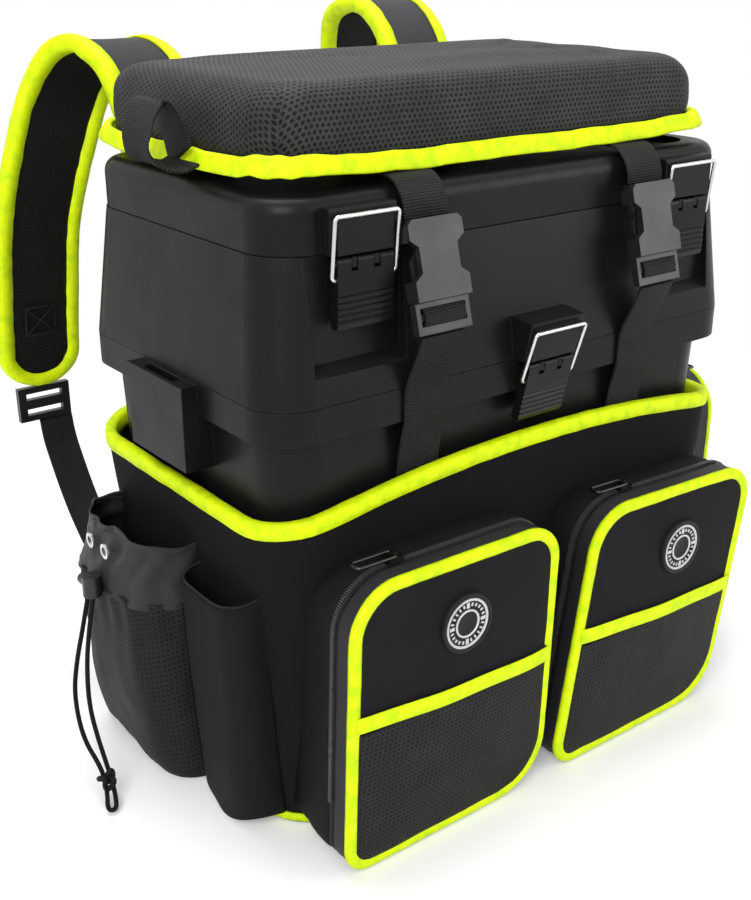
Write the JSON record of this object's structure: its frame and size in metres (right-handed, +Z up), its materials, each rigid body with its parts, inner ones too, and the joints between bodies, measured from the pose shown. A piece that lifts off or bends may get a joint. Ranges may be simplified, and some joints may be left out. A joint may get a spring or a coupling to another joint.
{
  "type": "fishing seat box",
  "caption": "Moulded tackle box with a hinged tray case and lid, carried in a padded rucksack bag with zipped pockets and topped by a strapped-on seat cushion.",
  "frame": {"origin": "on the floor under the middle of the box", "axes": "+Z up, the front with the two zipped pockets faces -Y, +X to the right seen from the front"},
  "size_m": [0.4934, 0.4217, 0.4734],
  "materials": {
    "moulded_plastic": "satin",
    "buckle_plastic": "satin",
    "bag_cloth": "matt",
    "lime_tape": "matt",
    "mesh_cloth": "matt",
    "spacer_mesh": "matt",
    "webbing": "matt",
    "cord": "matt",
    "steel_wire": "polished",
    "steel_pin": "satin",
    "badge_rubber": "matt"
  },
  "bodies": {
    "bag_and_tub": {"tub": "moulded_plastic", "bag_body": "bag_cloth", "bag_top_binding": "lime_tape", "bag_base_binding": "lime_tape", "back_panel_lower": "spacer_mesh", "pocket_gusset_left": "bag_cloth", "pocket_gusset_right": "bag_cloth", "pocket_gusset_side": "bag_cloth", "pocket_zips": "bag_cloth", "mesh_pocket": "mesh_cloth", "mesh_pocket_band": "bag_cloth", "eyelets": "steel_pin", "cord_lock": "buckle_plastic", "draw_cord": "cord", "cord_knot": "cord", "tube_pocket": "bag_cloth", "front_straps_lower": "webbing", "buckle_prongs": "buckle_plastic", "case_hinge_pins": "steel_pin", "centre_latch_pin": "steel_pin", "strap_webbing": "webbing"},
    "tray_case": {"upper_case": "moulded_plastic", "back_panel_upper": "spacer_mesh", "lid_hinge_pins": "steel_pin", "lid_latch_pins": "steel_pin", "shoulder_strap_left": "spacer_mesh", "shoulder_strap_right": "spacer_mesh", "strap_sliders": "buckle_plastic", "rear_straps": "webbing"},
    "box_lid": {"lid": "moulded_plastic"},
    "seat": {"seat_cushion": "spacer_mesh", "cushion_binding": "lime_tape", "cushion_loops": "webbing", "front_straps_upper": "webbing", "buckle_sockets": "buckle_plastic"},
    "lever_left": {"latch_lever_left": "buckle_plastic"},
    "wire_left": {"bail_left": "steel_wire"},
    "lever_right": {"latch_lever_right": "buckle_plastic"},
    "wire_right": {"bail_right": "steel_wire"},
    "lever_centre": {"latch_lever_centre": "buckle_plastic"},
    "wire_centre": {"bail_centre": "steel_wire"},
    "pocket_cup_left": {"pocket_front_left": "bag_cloth", "pocket_trim_left": "lime_tape", "pocket_mesh_left": "mesh_cloth", "pocket_badge_left": "badge_rubber"},
    "slider_left": {"zip_slider_left": "steel_pin"},
    "puller_left": {"zip_puller_left": "steel_wire"},
    "pocket_cup_right": {"pocket_front_right": "bag_cloth", "pocket_trim_right": "lime_tape", "pocket_mesh_right": "mesh_cloth", "pocket_badge_right": "badge_rubber"},
    "slider_right": {"zip_slider_right": "steel_pin"},
    "puller_right": {"zip_puller_right": "steel_wire"},
    "pocket_cup_side": {"pocket_front_side": "bag_cloth", "pocket_trim_side": "lime_tape"},
    "slider_side": {"zip_slider_side": "steel_pin"},
    "puller_side": {"zip_puller_side": "steel_wire"}
  },
  "joints": [
    {"name": "case_open", "type": "hinge", "parent": "bag_and_tub", "child": "tray_case", "pos_m": [0, 0.1175, 0.28015], "axis": [-1, 0, 0], "range_deg": [0, 46], "deforming": ["strap_webbing"]},
    {"name": "lid_open", "type": "hinge", "parent": "tray_case", "child": "box_lid", "pos_m": [0, 0.1091, 0.36115], "axis": [-1, 0, 0], "range_deg": [0, 75], "deforming": ["shoulder_strap_left", "shoulder_strap_right", "rear_straps"]},
    {"name": "seat_flip", "type": "hinge", "parent": "box_lid", "child": "seat", "pos_m": [0, 0.1075, 0.3976], "axis": [-1, 0, 0], "range_deg": [0, 60]},
    {"name": "lever_left_pull", "type": "hinge", "parent": "tray_case", "child": "lever_left", "pos_m": [-0.13, -0.1117, 0.3576], "axis": [-1, 0, 0], "range_deg": [0, 100]},
    {"name": "bail_left_swing", "type": "hinge", "parent": "lever_left", "child": "wire_left", "pos_m": [-0.13, -0.1123, 0.3486], "axis": [-1, 0, 0], "range_deg": [-100, 0]},
    {"name": "lever_right_pull", "type": "hinge", "parent": "tray_case", "child": "lever_right", "pos_m": [0.13, -0.1117, 0.3576], "axis": [-1, 0, 0], "range_deg": [0, 100]},
    {"name": "bail_right_swing", "type": "hinge", "parent": "lever_right", "child": "wire_right", "pos_m": [0.13, -0.1123, 0.3486], "axis": [-1, 0, 0], "range_deg": [-100, 0]},
    {"name": "lever_centre_pull", "type": "hinge", "parent": "bag_and_tub", "child": "lever_centre", "pos_m": [0.003, -0.1212, 0.2764], "axis": [-1, 0, 0], "range_deg": [0, 100]},
    {"name": "bail_centre_swing", "type": "hinge", "parent": "lever_centre", "child": "wire_centre", "pos_m": [0.003, -0.11992, 0.26747], "axis": [-1, 0, 0], "range_deg": [-100, 0]},
    {"name": "pocket_left_open", "type": "hinge", "parent": "bag_and_tub", "child": "pocket_cup_left", "pos_m": [-0.097, -0.1536, 0.003], "axis": [1, 0, 0], "range_deg": [0, 75]},
    {"name": "zip_left_run", "type": "slide", "parent": "bag_and_tub", "child": "slider_left", "axis": [0.9999, 0, -0.0127], "range_m": [0, 0.08]},
    {"name": "puller_left_lift", "type": "hinge", "parent": "slider_left", "child": "puller_left", "pos_m": [-0.12893, -0.1366, 0.19398], "axis": [0, 1, 0], "range_deg": [0, 150]},
    {"name": "pocket_right_open", "type": "hinge", "parent": "bag_and_tub", "child": "pocket_cup_right", "pos_m": [0.072, -0.1536, 0.003], "axis": [1, 0, 0], "range_deg": [0, 75]},
    {"name": "zip_right_run", "type": "slide", "parent": "bag_and_tub", "child": "slider_right", "axis": [0.9993, 0, -0.0382], "range_m": [0, 0.08]},
    {"name": "puller_right_lift", "type": "hinge", "parent": "slider_right", "child": "puller_right", "pos_m": [0.06221, -0.1366, 0.18695], "axis": [0, 1, 0], "range_deg": [0, 150]},
    {"name": "pocket_side_open", "type": "hinge", "parent": "bag_and_tub", "child": "pocket_cup_side", "pos_m": [0.2309, 0, 0.034], "axis": [0, 1, 0], "range_deg": [0, 75]},
    {"name": "zip_side_run", "type": "slide", "parent": "bag_and_tub", "child": "slider_side", "axis": [0, 1, 0], "range_m": [0, 0.08]},
    {"name": "puller_side_lift", "type": "hinge", "parent": "slider_side", "child": "puller_side", "pos_m": [0.2139, -0.038, 0.2155], "axis": [-1, 0, 0], "range_deg": [0, 150]}
  ],
  "couplings": [
    {"joint": "bail_left_swing", "follows": "lever_left_pull", "ratio": -1},
    {"joint": "bail_right_swing", "follows": "lever_right_pull", "ratio": -1},
    {"joint": "bail_centre_swing", "follows": "lever_centre_pull", "ratio": -1},
    {"joint": "zip_left_run", "follows": "pocket_left_open", "m_per_rad": 0.061115},
    {"joint": "zip_right_run", "follows": "pocket_right_open", "m_per_rad": 0.061115},
    {"joint": "zip_side_run", "follows": "pocket_side_open", "m_per_rad": 0.061115}
  ]
}
